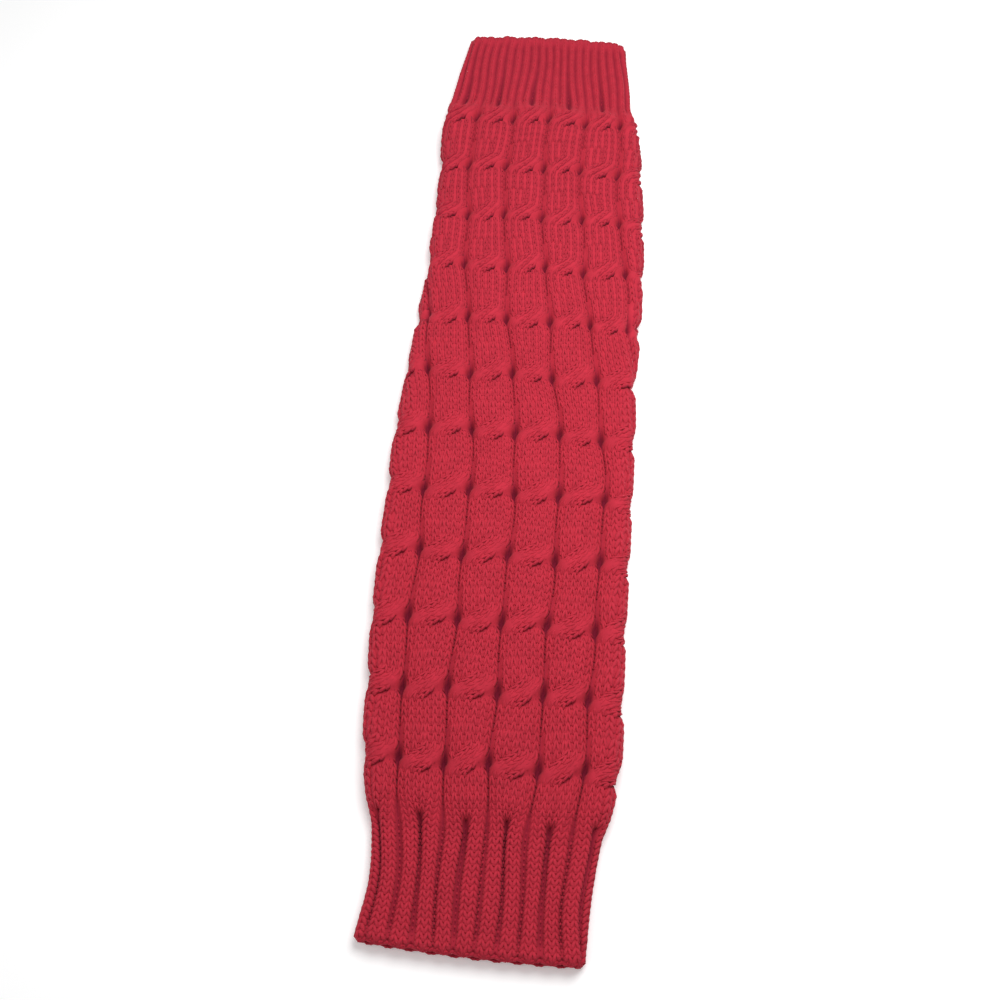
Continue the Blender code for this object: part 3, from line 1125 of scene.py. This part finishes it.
def wrap_edge(column, row, offset, end):
    around = (column + 0.5) / COLUMNS_PER_CABLE + offset[:, 0] * EDGE_STRETCH / CABLE_PITCH
    along = end * (RIM + RIM_TURN * EDGE_TURN) + offset[:, 1]

    def height(out_z):
        return CUFF_WALL / 2 + EDGE_PROUD + offset[:, 2]

    # Painted shade, darker where the loop dips.
    return on_cloth(around, along, height), EDGE_SHADE - offset[:, 2] / EDGE_SHADE_RANGE


for name, end in (("wide_cuff_edge", -1), ("narrow_cuff_edge", 1)):
    patch = chart_patch(name, edge_template, Rows=1, Repeat=1, Keep_Count=1)
    stitch_pieces.append(finish_patch(patch[0], *wrap_edge(*patch[1:], end)))

# %% Remove the templates
for helper in (knit_template, purl_template, edge_template):
    bpy.data.objects.remove(helper)

# %% [markdown]
# ## Camera, floor and light
# The camera looks down at the leg warmer from its wide cuff. The floor is plain and almost
# white, and soft lights above leave only faint shadows. The main one stands close above the far
# half, so the leg's far half is a little brighter than its near cuff.

# %% Place the camera
AIM = Vector((-0.0039, -0.0353, 0.006))
AZIMUTH = math.radians(4.8)
ELEVATION = math.radians(63.4)
DISTANCE = 0.495
camera_data = bpy.data.cameras.new("camera")
camera_data.lens = 46.8
camera_data.sensor_width = 36.0
camera_data.clip_start = 0.01
camera = bpy.data.objects.new("camera", camera_data)
bpy.context.scene.collection.objects.link(camera)
backward = Vector((
    math.sin(AZIMUTH) * math.cos(ELEVATION),
    -math.cos(AZIMUTH) * math.cos(ELEVATION),
    math.sin(ELEVATION),
))
camera.location = AIM + backward * DISTANCE
camera.rotation_euler = backward.to_track_quat("Z", "Y").to_euler()
bpy.context.scene.camera = camera
print("camera at", [round(value, 3) for value in camera.location])

# %% Lay the floor
floor_mesh = bmesh.new()
bmesh.ops.create_grid(floor_mesh, x_segments=1, y_segments=1, size=3.0)
floor_data = bpy.data.meshes.new("floor")
floor_mesh.to_mesh(floor_data)
floor_mesh.free()
floor = bpy.data.objects.new("floor", floor_data)
floor.location.z = -0.2 * MM
bpy.context.scene.collection.objects.link(floor)
paper = bpy.data.materials.new("white_floor")
paper.use_nodes = True
paper_shader = paper.node_tree.nodes["Principled BSDF"]
for key, value in (
    ("Base Color", (0.93, 0.93, 0.93, 1)),
    ("Roughness", 0.9),
    ("Emission Color", (1, 1, 1, 1)),
    ("Emission Strength", 0.15),
):
    paper_shader.inputs[key].default_value = value
floor_data.materials.append(paper)


# %% Light the set
def soft_light(name, place, size, power):
    data = bpy.data.lights.new(name, "AREA")
    data.shape = "DISK"
    data.size = size
    data.energy = power
    lamp = bpy.data.objects.new(name, data)
    lamp.location = place
    lamp.rotation_euler = Vector(place).to_track_quat("Z", "Y").to_euler()
    bpy.context.scene.collection.objects.link(lamp)


soft_light("main_light", (0.09, 0.075, 0.38), 0.34, 1.8)
soft_light("fill_light", (-0.9, -0.3, 1.2), 1.2, 4)
world = bpy.data.worlds.new("studio")
world.use_nodes = True
world.node_tree.nodes["Background"].inputs["Color"].default_value = (1, 1, 1, 1)
world.node_tree.nodes["Background"].inputs["Strength"].default_value = 0.38
bpy.context.scene.world = world
bpy.context.scene.view_settings.view_transform = "Standard"

# %% [markdown]
# ## The pieces on the frame
# Every piece rides on the frame's one body, and the backing replaces the plain solid, which is
# hidden. Cut open and spread out the backing is 0.187 m by 0.400 m: all round the tube at its
# widest, by the length from rim to rim. The stitches are on it.

# %% Ride and replace
for piece in [backing, *stitch_pieces]:
    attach(piece, "root")
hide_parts(TUBE)
